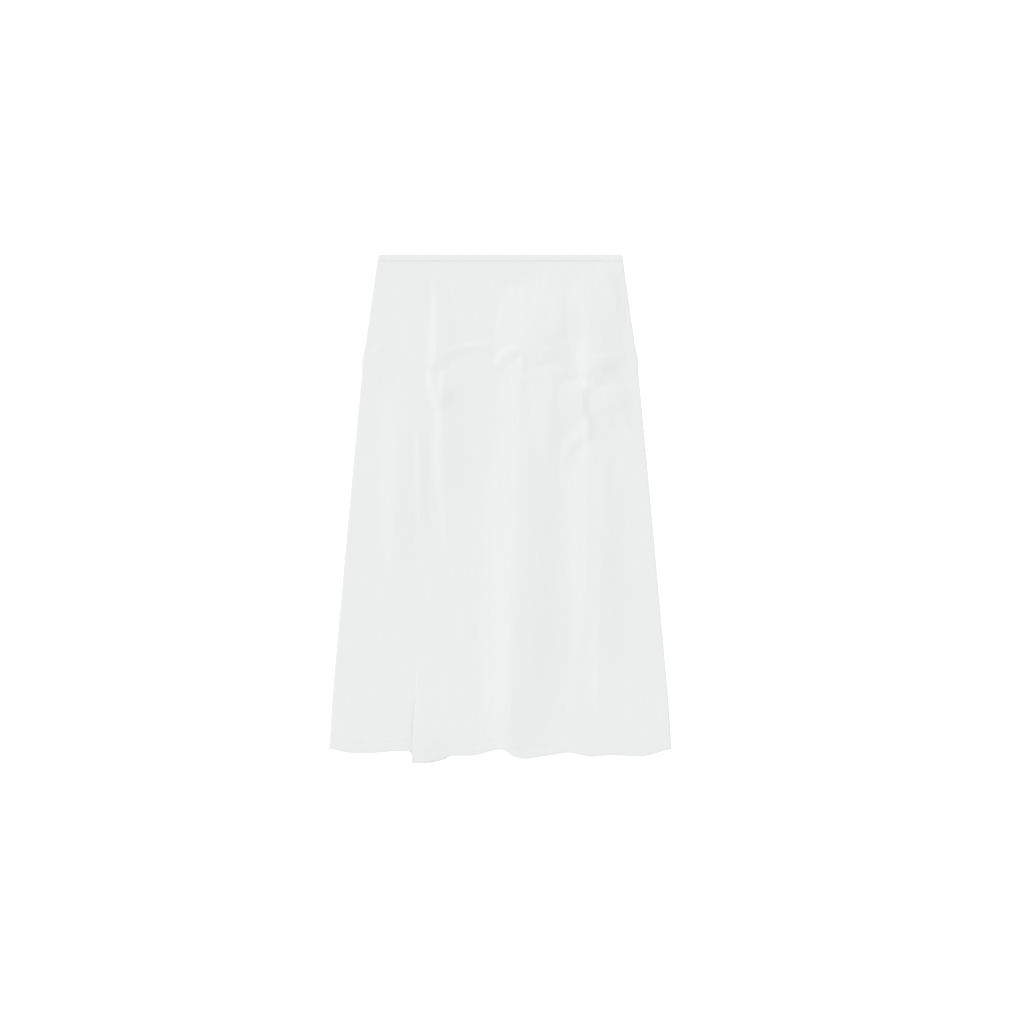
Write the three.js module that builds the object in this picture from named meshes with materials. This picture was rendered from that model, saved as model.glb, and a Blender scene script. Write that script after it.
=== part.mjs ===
// A maxi skirt of smooth white cloth, laid flat on a table with its front up.
// Millimetres. +X is to the viewer's right, +Y points from the hem to the waist, and +Z points up
// out of the table. The origin is on the table, under the middle of the skirt.
// "drop" is the distance below the waist's top edge, measured down the skirt.
import * as THREE from "three";

// Driving dimensions
const WAIST_WIDTH = 440;
const HIP_WIDTH = 498.2;
const HEM_WIDTH = 617.4;
const HIP_DROP = 190;
const SIDE_LENGTH = 891;
const CENTRE_LENGTH = 904;
const FULL_LENGTH = 916;
const BAND_HEIGHT = 12.6;
const HEM_TURN = 20;

// Cloth: one ply, the two plies of the turned hem and of the waistband, and the gap at a seam
const PLY = 1.2;
const TWO_PLY = 2.4;
const SEAM = 0.3;

// The side fold of the tube, a half round about as thick as the plies that lie in it: how far it
// stands over the face, how far in that fades, and where the folds of the front begin
const ROLL_STANDS = 0.6;
const ROLL_FADES_OVER = 60;
const FOLDS_START_OVER = 28;
const ROLL_ANGLES = [-50, -25, 0, 30, 60].map(THREE.MathUtils.degToRad);

// Half the width of the laid skirt, at each drop. It keeps its width where the cloth breaks at the
// hip, and its sides bow out a little below.
const OUTLINE = [
  { drop: 0, half: WAIST_WIDTH / 2 },
  { drop: 160, half: 242.4 },
  { drop: HIP_DROP, half: HIP_WIDTH / 2 },
  { drop: 212, half: HIP_WIDTH / 2 },
  { drop: 443, half: 270.8 },
  { drop: 803, half: 303.2 },
  { drop: SIDE_LENGTH, half: HEM_WIDTH / 2 },
];

// Where folds push the hem's edge out (+) or draw it up (-) from its plain arc.
const HEM_WAVES = [
  { x: -272, out: 4, left: 34, right: 80 },
  { x: -161, out: -5, left: 80, right: 0.5 },
  { x: -152, out: 13.5, left: 8, right: 52 },
  { x: -132, out: 5, left: 24, right: 30 },
  { x: -104, out: 8.5, left: 40, right: 16 },
  { x: 2, out: -12, left: 58, right: 24 },
  { x: 44, out: 5, left: 30, right: 46 },
  { x: 120, out: -4, left: 40, right: 34 },
  { x: 164, out: 4.5, left: 30, right: 50 },
  { x: 256, out: 9, left: 90, right: 58 },
];

// Folds of the front. Each follows a line down the cloth. A row gives the crest's x and drop, its
// rise over the cloth beside it, and how far the rise runs out to the left and to the right.
const FOLDS = {
  leftColumn: [
    { x: -199, drop: 223, rise: 0, left: 26, right: 40 },
    { x: -187, drop: 280, rise: 2.4, left: 36, right: 44 },
    { x: -185, drop: 362, rise: 4.2, left: 40, right: 52 },
    { x: -187, drop: 452, rise: 3.8, left: 34, right: 54 },
    { x: -192, drop: 533, rise: 2, left: 22, right: 50 },
    { x: -198, drop: 623, rise: 0, left: 10, right: 40 },
  ],
  leftHip: [
    { x: -119, drop: 22, rise: 0, left: 8, right: 20 },
    { x: -115, drop: 83, rise: 2, left: 14, right: 30 },
    { x: -114, drop: 146, rise: 3.2, left: 20, right: 34 },
    { x: -114, drop: 182, rise: 3.6, left: 22, right: 26 },
    { x: -124, drop: 210, rise: 0, left: 18, right: 12 },
  ],
  leftBelowHip: [
    { x: -101, drop: 202, rise: 0, left: 10, right: 10 },
    { x: -103, drop: 224, rise: 2.4, left: 13, right: 26 },
    { x: -104, drop: 264, rise: 3.2, left: 18, right: 36 },
    { x: -102, drop: 352, rise: 3.8, left: 25, right: 46 },
    { x: -101, drop: 424, rise: 3, left: 18, right: 52 },
    { x: -100, drop: 500, rise: 1.6, left: 12, right: 56 },
    { x: -98, drop: 605, rise: 1.4, left: 60, right: 50 },
    { x: -97, drop: 938, rise: 3, left: 66, right: 34 },
  ],
  belly: [
    { x: 88, drop: 16, rise: 0, left: 36, right: 60 },
    { x: 92, drop: 42, rise: 2.2, left: 54, right: 90 },
    { x: 92, drop: 76, rise: 3.6, left: 72, right: 100 },
    { x: 81, drop: 104, rise: 4.6, left: 86, right: 110 },
    { x: 65, drop: 133, rise: 5, left: 76, right: 110 },
    { x: 56, drop: 162, rise: 4.4, left: 68, right: 104 },
    { x: 47, drop: 194, rise: 2.8, left: 58, right: 96 },
    { x: 38, drop: 254, rise: 0, left: 30, right: 56 },
  ],
  centreColumn: [
    { x: 35, drop: 180, rise: 0, left: 16, right: 36 },
    { x: 38, drop: 212, rise: 2.8, left: 34, right: 44 },
    { x: 38, drop: 263, rise: 4.2, left: 54, right: 50 },
    { x: 40, drop: 335, rise: 5.2, left: 60, right: 60 },
    { x: 37, drop: 407, rise: 6.6, left: 68, right: 70 },
    { x: 31, drop: 551, rise: 8.6, left: 73, right: 86 },
    { x: 26, drop: 695, rise: 10.4, left: 72, right: 96 },
    { x: 20, drop: 803, rise: 10.4, left: 62, right: 100 },
    { x: 17, drop: 875, rise: 8.6, left: 54, right: 100 },
    { x: 15, drop: 938, rise: 8, left: 52, right: 100 },
  ],
  besideCentreColumn: [
    { x: 91, drop: 200, rise: 0, left: 36, right: 40 },
    { x: 91, drop: 222, rise: 3.2, left: 46, right: 72 },
    { x: 89, drop: 263, rise: 4, left: 44, right: 80 },
    { x: 87, drop: 308, rise: 2.8, left: 28, right: 72 },
    { x: 80, drop: 392, rise: 0, left: 14, right: 40 },
  ],
  rightHip: [
    { x: 158, drop: 14, rise: 0, left: 26, right: 40 },
    { x: 166, drop: 56, rise: 2.6, left: 44, right: 70 },
    { x: 167, drop: 101, rise: 3.9, left: 44, right: 80 },
    { x: 167, drop: 176, rise: 5, left: 42, right: 84 },
    { x: 165, drop: 203, rise: 4, left: 34, right: 70 },
    { x: 157, drop: 218, rise: 2.4, left: 20, right: 50 },
    { x: 149, drop: 236, rise: 0, left: 8, right: 24 },
  ],
  rightFan: [
    { x: 224, drop: 234, rise: 0, left: 12, right: 40 },
    { x: 198, drop: 247, rise: 2.8, left: 30, right: 70 },
    { x: 185, drop: 268, rise: 3, left: 28, right: 70 },
    { x: 178, drop: 294, rise: 1.4, left: 16, right: 50 },
    { x: 169, drop: 311, rise: 0, left: 8, right: 24 },
  ],
  belowRightFan: [
    { x: 211, drop: 236, rise: 0, left: 10, right: 16 },
    { x: 217, drop: 270, rise: 1.5, left: 18, right: 36 },
    { x: 237, drop: 352, rise: 0, left: 10, right: 16 },
  ],
  rightColumn: [
    { x: 156, drop: 232, rise: 0, left: 16, right: 12 },
    { x: 147, drop: 262, rise: 3.2, left: 36, right: 20 },
    { x: 155, drop: 300, rise: 3, left: 40, right: 24 },
    { x: 160, drop: 371, rise: 3.4, left: 44, right: 54 },
    { x: 161, drop: 443, rise: 4.2, left: 52, right: 64 },
    { x: 160, drop: 551, rise: 4.4, left: 46, right: 74 },
    { x: 156, drop: 632, rise: 3.6, left: 36, right: 80 },
    { x: 151, drop: 704, rise: 2.4, left: 30, right: 86 },
    { x: 150, drop: 785, rise: 2.2, left: 60, right: 92 },
    { x: 148, drop: 938, rise: 3, left: 80, right: 100 },
  ],
  rightSecond: [
    { x: 184, drop: 335, rise: 0, left: 10, right: 24 },
    { x: 187, drop: 440, rise: 1.4, left: 18, right: 36 },
    { x: 182, drop: 587, rise: 2.2, left: 24, right: 44 },
    { x: 180, drop: 686, rise: 2.8, left: 28, right: 50 },
    { x: 179, drop: 776, rise: 2.2, left: 24, right: 50 },
    { x: 179, drop: 870, rise: 0, left: 14, right: 50 },
  ],
  hipCrease: [
    { x: -92, drop: 176, rise: 0, left: 10, right: 14 },
    { x: -68, drop: 166, rise: 1.4, left: 12, right: 26 },
    { x: -32, drop: 161, rise: 1.6, left: 16, right: 26 },
    { x: 0, drop: 170, rise: 1.8, left: 22, right: 12 },
    { x: 22, drop: 175, rise: 2.6, left: 26, right: 10 },
    { x: 38, drop: 186, rise: 0, left: 20, right: 8 },
  ],
  hemOverlap: [
    { x: -154, drop: 740, rise: 0, left: 12, right: 40 },
    { x: -156, drop: 810, rise: 3.4, left: 11, right: 56 },
    { x: -157, drop: 870, rise: 6.2, left: 11, right: 64 },
    { x: -158, drop: 938, rise: 7.6, left: 11, right: 64 },
  ],
  leftHem: [
    { x: -262, drop: 720, rise: 0, left: 30, right: 40 },
    { x: -266, drop: 938, rise: 2, left: 34, right: 70 },
  ],
  rightHem: [
    { x: 252, drop: 695, rise: 0, left: 60, right: 30 },
    { x: 256, drop: 938, rise: 3, left: 90, right: 34 },
  ],
};

// Stations of the two panels: columns between the side folds, with two more where the hem's fold
// has its sharp edge, and nominal drops of the rows
const FRONT_COLUMNS = 46;
const OVERLAP_COLUMNS = [-0.534, -0.512];
const BACK_COLUMNS = 30;
const CURVE_STEPS = 6;
const HIP_ROWS = { from: 150, to: 300, step: 11 };
const ROW_STEP_ABOVE = 23;
const ROW_STEP_BELOW = 30;
const HEM_SHIFT_FROM = 690;
const TURN_EDGE = 1;
const ROWS_PER_BACK_ROW = 3;

const smooth = (t) => THREE.MathUtils.smoothstep(t, 0, 1);
const yOf = (drop) => FULL_LENGTH / 2 - drop;

/** A value read from a table's column at a drop, straight between its rows. */
function readTable(rows, column, drop) {
  const next = rows.findIndex((row) => row.drop >= drop);
  if (next < 0) return rows[rows.length - 1][column];
  if (next === 0) return rows[0][column];
  const above = rows[next - 1];
  const below = rows[next];
  const share = (drop - above.drop) / (below.drop - above.drop);
  return THREE.MathUtils.lerp(above[column], below[column], share);
}

const halfWidth = (drop) => readTable(OUTLINE, "half", drop);

/** How much of a fold's rise is left at a share of its run: steep by the crest on the lit left,
 * and round over the crest to the right. */
function fallLeft(share) {
  const crestRound = 0.14;
  const hollow = 0.6;
  const far = Math.hypot(1, crestRound) - crestRound;
  const t = Math.min(1, (Math.hypot(share, crestRound) - crestRound) / far);
  return (1 - t) ** 2 * (1 + hollow * t);
}
const fallRight = (share) => 1 - smooth(share);

/** The drop of the hem's edge at x: an arc from side to side, with the folds' waves. */
function hemDrop(x) {
  const share = Math.min(1, Math.abs(x) / (HEM_WIDTH / 2));
  let drop = THREE.MathUtils.lerp(CENTRE_LENGTH, SIDE_LENGTH, share ** 2);
  for (const wave of HEM_WAVES) {
    const run = x < wave.x ? wave.left : wave.right;
    drop += wave.out * fallRight(Math.abs(x - wave.x) / run);
  }
  return Math.min(drop, FULL_LENGTH);
}

/** A fold's table as short straight pieces of a smooth line, with its sizes at each end. */
function foldLine(rows) {
  const path = new THREE.CatmullRomCurve3(
    rows.map(({ x, drop, rise }) => new THREE.Vector3(x, drop, rise)),
    false,
    "catmullrom",
    0.5,
  );
  const runs = new THREE.CatmullRomCurve3(
    rows.map(({ left, right }) => new THREE.Vector3(left, right, 0)),
    false,
    "catmullrom",
    0.5,
  );
  const steps = (rows.length - 1) * CURVE_STEPS;
  return Array.from({ length: steps + 1 }, (_, i) => {
    const crest = path.getPoint(i / steps);
    const run = runs.getPoint(i / steps);
    return { at: new THREE.Vector2(crest.x, crest.y), rise: crest.z, left: run.x, right: run.y };
  });
}

const FOLD_LINES = Object.values(FOLDS).map(foldLine);

/** The rise that one fold gives the cloth at a point. */
function foldRise(line, point) {
  let nearest = Infinity;
  let rise = 0;
  for (let i = 1; i < line.length; i++) {
    const from = line[i - 1];
    const to = line[i];
    const along = to.at.clone().sub(from.at);
    const offset = point.clone().sub(from.at);
    const t = THREE.MathUtils.clamp(offset.dot(along) / along.lengthSq(), 0, 1);
    const away = offset.addScaledVector(along, -t);
    const distance = away.length();
    if (distance >= nearest) continue;
    nearest = distance;
    const onLeft = along.y * away.x - along.x * away.y < 0;
    const run = THREE.MathUtils.lerp(from[onLeft ? "left" : "right"], to[onLeft ? "left" : "right"], t);
    const share = Math.min(1, distance / run);
    const fall = onLeft ? fallLeft(share) : fallRight(share);
    rise = THREE.MathUtils.lerp(from.rise, to.rise, t) * fall;
  }
  return rise;
}

const foldsRise = (x, drop) => {
  const point = new THREE.Vector2(x, drop);
  return FOLD_LINES.reduce((sum, line) => sum + foldRise(line, point), 0);
};

/** How much of the hem's second ply lies at a nominal drop: 0 above the turn, 1 in it. */
const inHemTurn = (drop) => (drop > SIDE_LENGTH - HEM_TURN ? 1 : 0);
const thickness = (drop) => THREE.MathUtils.lerp(PLY, TWO_PLY, inHemTurn(drop));

/** The height of the back's upper face, eased before the hem's turn so that the front can lift. */
const backTop = (drop) => {
  const easeOver = 130;
  return PLY + (TWO_PLY - PLY) * smooth((drop - SIDE_LENGTH + HEM_TURN + easeOver) / easeOver);
};

/** The height of the front's outer face where no fold lifts it. */
function restHeight(drop) {
  const plies = backTop(drop) - PLY;
  const lying = backTop(drop) + SEAM + PLY + plies;
  const atBand = 2 * TWO_PLY - SEAM;
  const leavesBandOver = 45;
  return Math.max(lying, THREE.MathUtils.lerp(atBand, lying, smooth(drop / leavesBandOver)));
}

/** The side fold's outer radius, which is also the height of its middle. */
const rollRadius = (drop) => (restHeight(drop) + ROLL_STANDS) / 2;

/** How far in from the side fold's outside the back's edge lies, beside the front's inner edge. */
function seamTuck(drop) {
  const endAngle = ROLL_ANGLES[0];
  const endFaces = (ROLL_ANGLES[0] + ROLL_ANGLES[1]) / 2;
  const outerEdge = rollRadius(drop) * (1 - Math.cos(endAngle));
  return outerEdge + thickness(drop) * Math.cos(endFaces) + SEAM;
}

/** The drop of a point that is at a row's nominal drop: near the hem, rows follow its edge. */
function trueDrop(x, nominal) {
  const share = smooth((nominal - HEM_SHIFT_FROM) / (SIDE_LENGTH - HEM_SHIFT_FROM));
  return nominal + (hemDrop(x) - SIDE_LENGTH) * share;
}

/** A point of the front's outer face between the side folds, s from -1 at the left to 1. */
function facePoint(s, nominal) {
  const radius = rollRadius(nominal);
  const x = s * (halfWidth(nominal) - radius);
  const drop = trueDrop(x, nominal);
  const inward = (1 - Math.abs(s)) * (halfWidth(nominal) - radius);
  const sideRise = ROLL_STANDS * (1 - smooth(inward / ROLL_FADES_OVER));
  const foldsHere = foldsRise(x, drop) * smooth(inward / FOLDS_START_OVER);
  return new THREE.Vector3(x, yOf(drop), restHeight(nominal) + sideRise + Math.max(0, foldsHere));
}

/** A point of the front's outer face on a side fold, at an angle round it from the table. */
function rollPoint(side, angle, nominal) {
  const radius = rollRadius(nominal);
  const x = side * (halfWidth(nominal) - radius + radius * Math.cos(angle));
  const z = radius + radius * Math.sin(angle);
  return new THREE.Vector3(x, yOf(trueDrop(x, nominal)), z);
}

/** A row of the front's outer face, from the left seam over the skirt to the right seam. */
function frontRow(nominal) {
  const even = Array.from({ length: FRONT_COLUMNS + 1 }, (_, i) => -1 + (2 * i) / FRONT_COLUMNS);
  const columns = [...even, ...OVERLAP_COLUMNS].sort((a, b) => a - b);
  return [
    ...ROLL_ANGLES.map((angle) => rollPoint(-1, angle, nominal)),
    ...columns.map((s) => facePoint(s, nominal)),
    ...ROLL_ANGLES.map((angle) => rollPoint(1, angle, nominal)).reverse(),
  ];
}

/** Nominal drops of the panels' rows: close together at the hip and at the hem's turn. */
function rowDrops() {
  const drops = [];
  for (let drop = BAND_HEIGHT + SEAM; drop < HIP_ROWS.from; drop += ROW_STEP_ABOVE) drops.push(drop);
  for (let drop = HIP_ROWS.from; drop < HIP_ROWS.to; drop += HIP_ROWS.step) drops.push(drop);
  const turn = SIDE_LENGTH - HEM_TURN;
  for (let drop = HIP_ROWS.to; drop < turn - ROW_STEP_BELOW / 2; drop += ROW_STEP_BELOW) drops.push(drop);
  drops.push(turn - TURN_EDGE, turn + TURN_EDGE, SIDE_LENGTH);
  return drops;
}

/** The outward normal of a grid of points at one of them. */
function normalAt(grid, row, column) {
  const last = grid.length - 1;
  const end = grid[row].length - 1;
  const down = grid[Math.min(row + 1, last)][column].clone().sub(grid[Math.max(row - 1, 0)][column]);
  const across = grid[row][Math.min(column + 1, end)].clone().sub(grid[row][Math.max(column - 1, 0)]);
  return down.cross(across).normalize();
}

/** A closed wall between two grids of points, outer and inner, with a rim round all four sides. */
function wallGeometry(outer, inner) {
  const rows = outer.length;
  const columns = outer[0].length;
  const points = [...outer.flat(), ...inner.flat()];
  const out = (row, column) => row * columns + column;
  const inn = (row, column) => rows * columns + out(row, column);
  const faces = [];
  const quad = (a, b, c, d) => faces.push(a, b, c, a, c, d);
  for (let row = 0; row < rows - 1; row++) {
    for (let column = 0; column < columns - 1; column++) {
      const next = [row + 1, column + 1];
      quad(out(row, column), out(next[0], column), out(...next), out(row, next[1]));
      quad(inn(row, column), inn(row, next[1]), inn(...next), inn(next[0], column));
    }
    quad(out(row, 0), inn(row, 0), inn(row + 1, 0), out(row + 1, 0));
    const end = columns - 1;
    quad(out(row, end), out(row + 1, end), inn(row + 1, end), inn(row, end));
  }
  for (let column = 0; column < columns - 1; column++) {
    const end = rows - 1;
    quad(out(0, column), out(0, column + 1), inn(0, column + 1), inn(0, column));
    quad(out(end, column), inn(end, column), inn(end, column + 1), out(end, column + 1));
  }
  const geometry = new THREE.BufferGeometry().setFromPoints(points);
  geometry.setIndex(faces);
  geometry.computeVertexNormals();
  return geometry;
}

/** The front: its outer face goes down both side folds, and its wall is behind that face. */
function frontPanel() {
  const drops = rowDrops();
  const outer = drops.map(frontRow);
  const inner = outer.map((row, i) =>
    row.map((point, j) => point.clone().addScaledVector(normalAt(outer, i, j), -thickness(drops[i]))),
  );
  return wallGeometry(outer, inner);
}

/** The back lies flat on the table, a little in from the side folds, with its hem turned up. */
function backPanel() {
  const turn = SIDE_LENGTH - HEM_TURN - 2 * TURN_EDGE;
  const atHip = (drop) => drop > HIP_ROWS.from && drop < HIP_ROWS.to;
  const drops = rowDrops().filter((drop, i) => i % ROWS_PER_BACK_ROW === 0 || atHip(drop) || drop > turn);
  const underside = drops.map((nominal) =>
    Array.from({ length: BACK_COLUMNS + 1 }, (_, i) => {
      const s = 1 - (2 * i) / BACK_COLUMNS;
      const x = s * (halfWidth(nominal) - seamTuck(nominal));
      return new THREE.Vector3(x, yOf(trueDrop(x, nominal)), 0);
    }),
  );
  const upper = underside.map((row, i) =>
    row.map((point) => point.clone().setZ(thickness(drops[i]))),
  );
  return wallGeometry(underside, upper);
}

/** One side of the waistband: a strip with round edges, whose top corners are turned. */
function waistband() {
  const edge = 0.6;
  const corner = 4;
  const top = WAIST_WIDTH / 2 - edge;
  const low = halfWidth(BAND_HEIGHT) - edge;
  const upper = yOf(edge);
  const lower = yOf(BAND_HEIGHT - edge);
  const strip = new THREE.Shape();
  strip.moveTo(-low, lower);
  strip.lineTo(low, lower);
  strip.lineTo(top, upper - corner);
  strip.quadraticCurveTo(top, upper, top - corner, upper);
  strip.lineTo(-top + corner, upper);
  strip.quadraticCurveTo(-top, upper, -top, upper - corner);
  strip.closePath();
  const geometry = new THREE.ExtrudeGeometry(strip, {
    depth: TWO_PLY - 2 * edge,
    bevelThickness: edge,
    bevelSize: edge,
    bevelSegments: 2,
    curveSegments: 4,
  });
  return geometry.translate(0, 0, edge);
}

const cloth = new THREE.MeshStandardMaterial({ color: 0xeceded, roughness: 0.62, metalness: 0 });
const bandCloth = new THREE.MeshStandardMaterial({ color: 0xe8e9e9, roughness: 0.66, metalness: 0 });

const skirt = new THREE.Group();

function addPiece(name, geometry, material, height = 0) {
  const mesh = new THREE.Mesh(geometry, material);
  mesh.name = name;
  mesh.position.z = height;
  skirt.add(mesh);
}

addPiece("back_panel", backPanel(), cloth);
addPiece("front_panel", frontPanel(), cloth);
addPiece("waistband_back", waistband(), bandCloth);
addPiece("waistband_front", waistband(), bandCloth, TWO_PLY + SEAM);

export default skirt;
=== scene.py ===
"""A white maxi skirt laid flat with its front up, on a pale floor.

Sizes here are millimetres, and MM turns them into Blender's metres. X runs to the viewer's right,
Y from the hem to the waist and Z up. A drop is the distance down the skirt from the waist's edge.
"""

import math
from collections import namedtuple

import bmesh
import bpy
import numpy as np
from mathutils import Matrix, Vector, noise


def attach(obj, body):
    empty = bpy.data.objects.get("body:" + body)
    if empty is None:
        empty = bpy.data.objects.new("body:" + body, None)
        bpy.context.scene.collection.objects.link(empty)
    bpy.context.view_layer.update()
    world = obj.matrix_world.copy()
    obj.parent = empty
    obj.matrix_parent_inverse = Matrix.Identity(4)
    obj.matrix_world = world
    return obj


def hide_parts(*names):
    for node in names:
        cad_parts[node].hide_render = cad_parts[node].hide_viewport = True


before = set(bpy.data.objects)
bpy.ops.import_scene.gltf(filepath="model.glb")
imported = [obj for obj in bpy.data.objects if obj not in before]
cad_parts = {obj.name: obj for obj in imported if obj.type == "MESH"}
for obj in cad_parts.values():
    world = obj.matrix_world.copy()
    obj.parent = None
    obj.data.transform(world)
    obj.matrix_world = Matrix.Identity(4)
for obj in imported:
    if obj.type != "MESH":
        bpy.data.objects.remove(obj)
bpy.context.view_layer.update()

MM = 0.001

# The skirt's sizes, as the solids have them
WAIST_HALF = 220
HEM_HALF = 308.7
SIDE_LENGTH = 891
CENTRE_LENGTH = 904
FULL_LENGTH = 916
BAND_HEIGHT = 12.6
BAND_THICK = 2.4
HEM_TURN = 20
PLY = 1.2
TWO_PLY = 2.4
SEAM = 0.3
ROLL_FADES_OVER = 60
FOLDS_START_OVER = 28
ROLL_END = math.radians(-50)

# The sewn cloth: thinner than the solids' walls, and standing less where it turns round the sides
ROLL_STANDS = 0.15
CLOTH_PLY = 0.8
BAND_PLY = 0.5
TURN_RADIUS = TWO_PLY / 2
BAND_TOP_RADIUS = BAND_THICK / 2
BAND_EDGE_RADIUS = 0.55
BAND_TURN_IN = 5
BAND_CORNER = 4

# How much of the dip under the waistband the back has, and how much of a hollow is left between
# folds, where the cloth lies on what is under it
BACK_DIP = 0.8
HOLLOWS_KEPT = 0.3

# Half the width of the laid skirt at each drop
Width = namedtuple("Width", "drop half")
OUTLINE = [
    Width(0, WAIST_HALF),
    Width(160, 242.4),
    Width(190, 249.1),
    Width(212, 249.1),
    Width(443, 270.8),
    Width(803, 303.2),
    Width(SIDE_LENGTH, HEM_HALF),
]

# Where folds push the hem's edge out (+) or draw it up (-), and how far to each side
Wave = namedtuple("Wave", "x out left right")
HEM_WAVES = [
    Wave(-272, 4, 34, 80),
    Wave(-161, -5, 80, 0.5),
    Wave(-152, 13.5, 8, 52),
    Wave(-132, 5, 24, 30),
    Wave(-104, 8.5, 40, 16),
    Wave(2, -12, 58, 24),
    Wave(44, 5, 30, 46),
    Wave(120, -4, 40, 34),
    Wave(164, 4.5, 30, 50),
    Wave(256, 9, 90, 58),
]

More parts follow.
